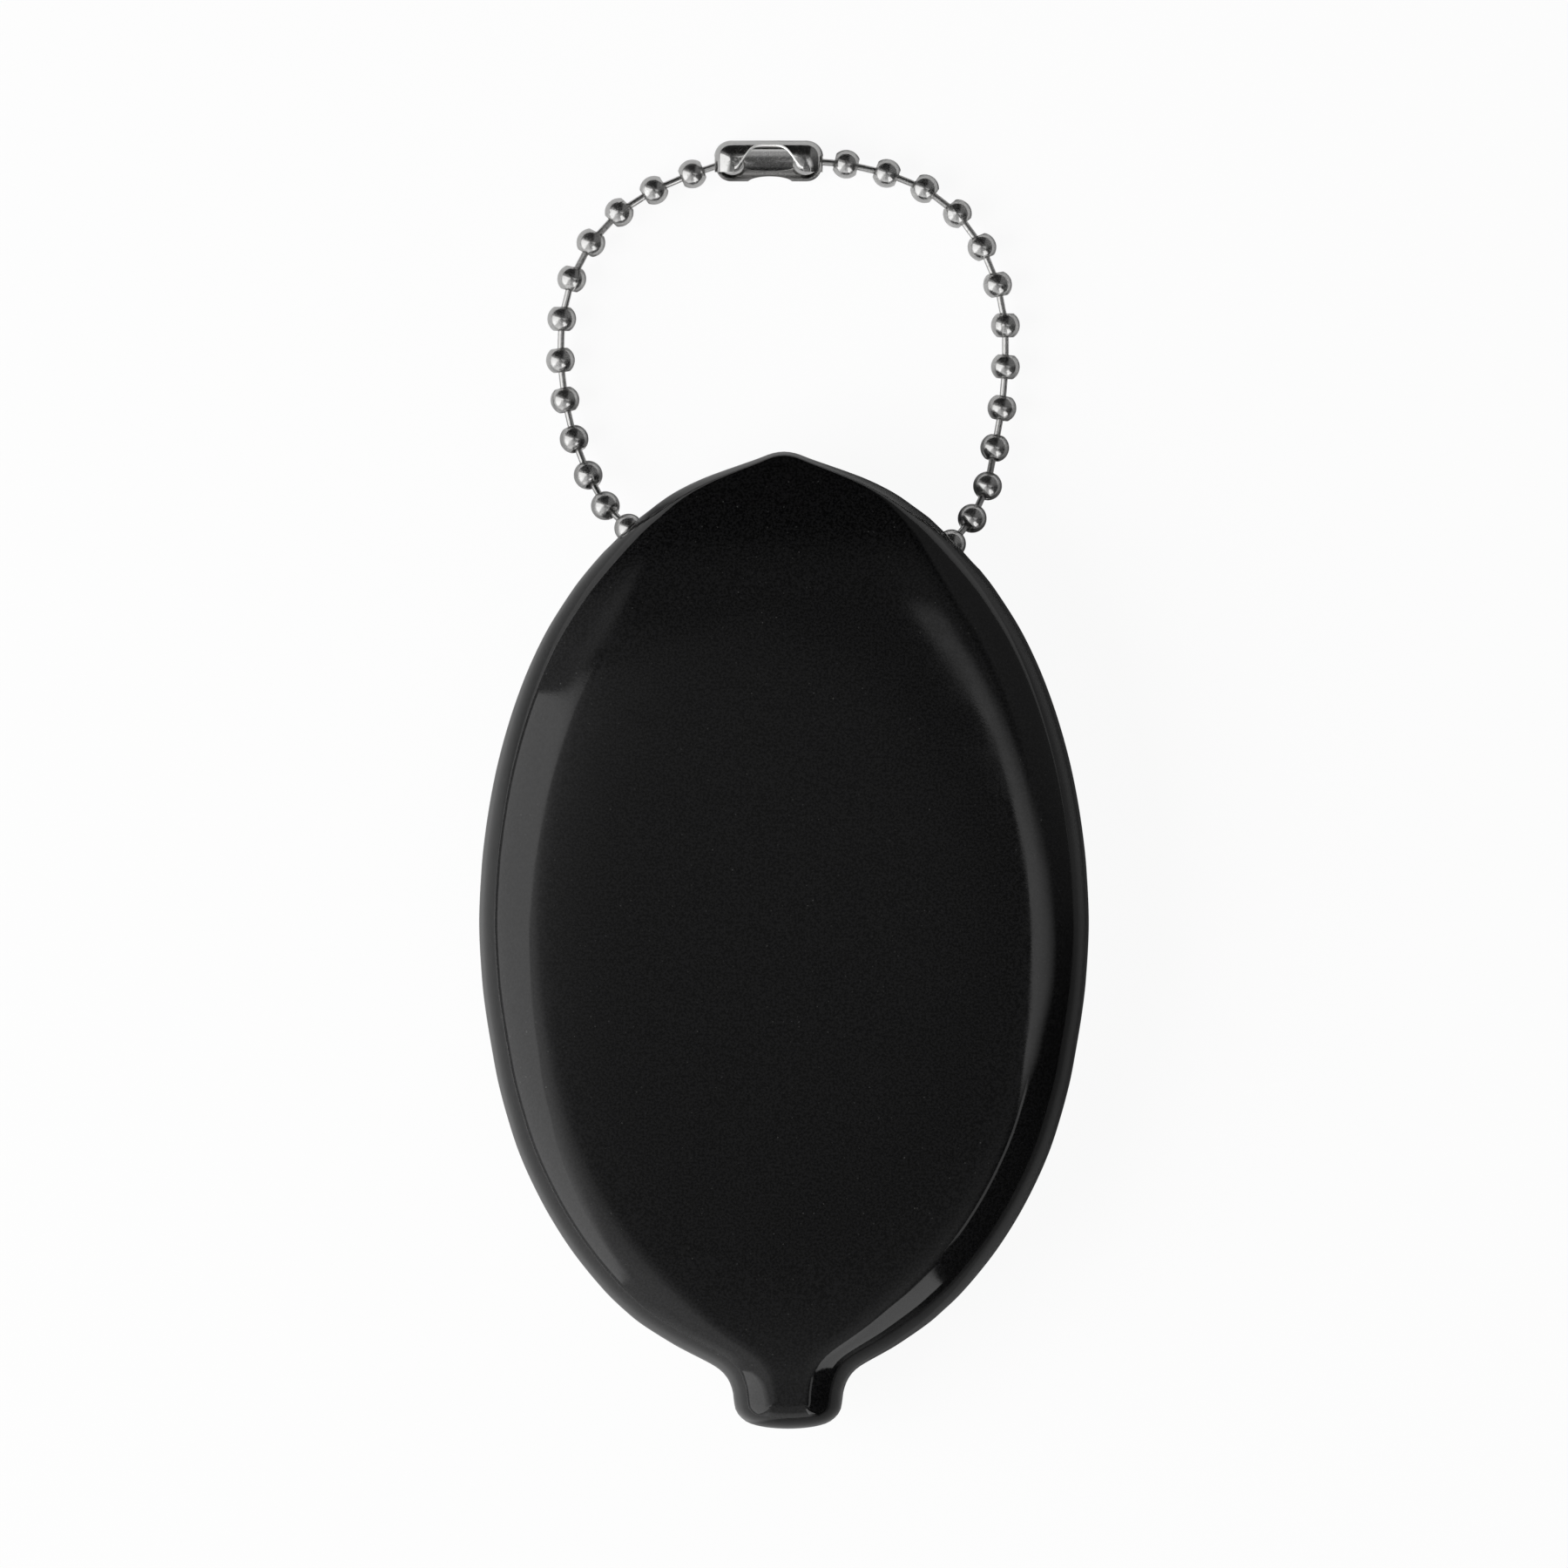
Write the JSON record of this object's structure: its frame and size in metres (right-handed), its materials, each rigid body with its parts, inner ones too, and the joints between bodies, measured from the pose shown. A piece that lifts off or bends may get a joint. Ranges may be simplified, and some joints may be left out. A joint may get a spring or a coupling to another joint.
{
  "type": "coin pouch",
  "caption": "Oval soft vinyl squeeze coin pouch with a solid end nub, a long slit on its underside and a loop of ball chain through two rim holes.",
  "frame": {"origin": "centre of the bounding box on the plane that the pouch lies on, in line with the pouch's long axis", "axes": "+Y along the pouch from its nub to its tip and on to the chain's connector, +Z out of the plain face, +X across the pouch to the picture's right"},
  "size_m": [0.0506, 0.1068, 0.011],
  "materials": {
    "pouch_vinyl": "glossy black moulded vinyl",
    "bead_nickel": "polished nickel plate",
    "link_nickel": "polished nickel plate",
    "connector_nickel": "polished nickel plate, pressed sheet"
  },
  "bodies": {
    "pouch": {"pouch_shell": "pouch_vinyl"},
    "lip_left": {"lip_left": "pouch_vinyl"},
    "lip_right": {"lip_right": "pouch_vinyl"},
    "chain_01": {"bead_left_01": "bead_nickel", "bead_right_01": "bead_nickel", "link_left_01": "link_nickel", "link_right_01": "link_nickel", "chain_inner_run": "bead_nickel"},
    "chain_02": {"bead_left_02": "bead_nickel", "bead_right_02": "bead_nickel", "link_left_02": "link_nickel", "link_right_02": "link_nickel"},
    "chain_03": {"bead_left_03": "bead_nickel", "bead_right_03": "bead_nickel", "link_left_03": "link_nickel", "link_right_03": "link_nickel"},
    "chain_04": {"bead_left_04": "bead_nickel", "bead_right_04": "bead_nickel", "link_left_04": "link_nickel", "link_right_04": "link_nickel"},
    "chain_05": {"bead_left_05": "bead_nickel", "bead_right_05": "bead_nickel", "link_left_05": "link_nickel", "link_right_05": "link_nickel"},
    "chain_06": {"bead_left_06": "bead_nickel", "bead_right_06": "bead_nickel", "link_left_06": "link_nickel", "link_right_06": "link_nickel"},
    "chain_07": {"bead_left_07": "bead_nickel", "bead_right_07": "bead_nickel", "link_left_07": "link_nickel", "link_right_07": "link_nickel"},
    "chain_08": {"bead_left_08": "bead_nickel", "bead_right_08": "bead_nickel", "link_left_08": "link_nickel", "link_right_08": "link_nickel"},
    "chain_09": {"bead_left_09": "bead_nickel", "bead_right_09": "bead_nickel", "link_left_09": "link_nickel", "link_right_09": "link_nickel"},
    "chain_10": {"bead_left_10": "bead_nickel", "bead_right_10": "bead_nickel", "link_left_10": "link_nickel", "link_right_10": "link_nickel"},
    "chain_11": {"bead_left_11": "bead_nickel", "bead_right_11": "bead_nickel", "link_left_11": "link_nickel", "link_right_11": "link_nickel"},
    "chain_12": {"bead_left_12": "bead_nickel", "bead_right_12": "bead_nickel", "link_left_12": "link_nickel", "link_right_12": "link_nickel"},
    "chain_13": {"bead_left_13": "bead_nickel", "bead_right_13": "bead_nickel", "link_right_13": "link_nickel", "bead_right_14": "bead_nickel", "chain_connector": "connector_nickel"}
  },
  "joints": [
    {"name": "lip_left_squeeze", "type": "hinge", "parent": "pouch", "child": "lip_left", "pos_m": [-0.01, -0.01266, 0], "axis": [0, 1, 0], "range_deg": [0, 70], "stiffness_Nm_per_rad": 0.02},
    {"name": "lip_right_squeeze", "type": "hinge", "parent": "pouch", "child": "lip_right", "pos_m": [0.01, -0.01266, 0], "axis": [0, 1, 0], "range_deg": [-70, 0], "stiffness_Nm_per_rad": 0.02},
    {"name": "loop_swing", "type": "hinge", "parent": "pouch", "child": "chain_01", "pos_m": [-0.01286, 0.02119, 0.0055], "axis": [0.9988, -0.0486, 0], "range_deg": [-45, 90]},
    {"name": "loop_bend_02", "type": "hinge", "parent": "chain_01", "child": "chain_02", "pos_m": [-0.01481, 0.02307, 0.0036], "axis": [0.9994, -0.0345, 0], "range_deg": [-8, 8]},
    {"name": "loop_bend_03", "type": "hinge", "parent": "chain_02", "child": "chain_03", "pos_m": [-0.01626, 0.02564, 0.00208], "axis": [0.9996, -0.0273, 0], "range_deg": [-8, 8]},
    {"name": "loop_bend_04", "type": "hinge", "parent": "chain_03", "child": "chain_04", "pos_m": [-0.01743, 0.02864, 0.00135], "axis": [0.9998, -0.0207, 0], "range_deg": [-8, 8]},
    {"name": "loop_bend_05", "type": "hinge", "parent": "chain_04", "child": "chain_05", "pos_m": [-0.01819, 0.0319, 0.0012], "axis": [0.9998, -0.0187, 0], "range_deg": [-13, 13]},
    {"name": "loop_bend_06", "type": "hinge", "parent": "chain_05", "child": "chain_06", "pos_m": [-0.01857, 0.03519, 0.0012], "axis": [0.9999, -0.0147, 0], "range_deg": [-13, 13]},
    {"name": "loop_bend_07", "type": "hinge", "parent": "chain_06", "child": "chain_07", "pos_m": [-0.01846, 0.03862, 0.0012], "axis": [0.9999, -0.0145, 0], "range_deg": [-13, 13]},
    {"name": "loop_bend_08", "type": "hinge", "parent": "chain_07", "child": "chain_08", "pos_m": [-0.01763, 0.04195, 0.0012], "axis": [0.9999, -0.0137, 0], "range_deg": [-13, 13]},
    {"name": "loop_bend_09", "type": "hinge", "parent": "chain_08", "child": "chain_09", "pos_m": [-0.01604, 0.04495, 0.0012], "axis": [0.9999, -0.0111, 0], "range_deg": [-13, 13]},
    {"name": "loop_bend_10", "type": "hinge", "parent": "chain_09", "child": "chain_10", "pos_m": [-0.01369, 0.04747, 0.0012], "axis": [1, -0.0039, 0], "range_deg": [-13, 13]},
    {"name": "loop_bend_11", "type": "hinge", "parent": "chain_10", "child": "chain_11", "pos_m": [-0.0108, 0.04931, 0.0012], "axis": [1, 0.0055, 0], "range_deg": [-13, 13]},
    {"name": "loop_bend_12", "type": "hinge", "parent": "chain_11", "child": "chain_12", "pos_m": [-0.00762, 0.05067, 0.0012], "axis": [1, 0.0027, 0], "range_deg": [-13, 13]},
    {"name": "connector_turn", "type": "hinge", "parent": "chain_12", "child": "chain_13", "pos_m": [-0.0043, 0.05175, 0.0015], "axis": [0.9991, -0.0298, -0.0317], "range_deg": [-25, 25]}
  ],
  "couplings": [
    {"joint": "lip_right_squeeze", "follows": "lip_left_squeeze", "ratio": -1}
  ]
}
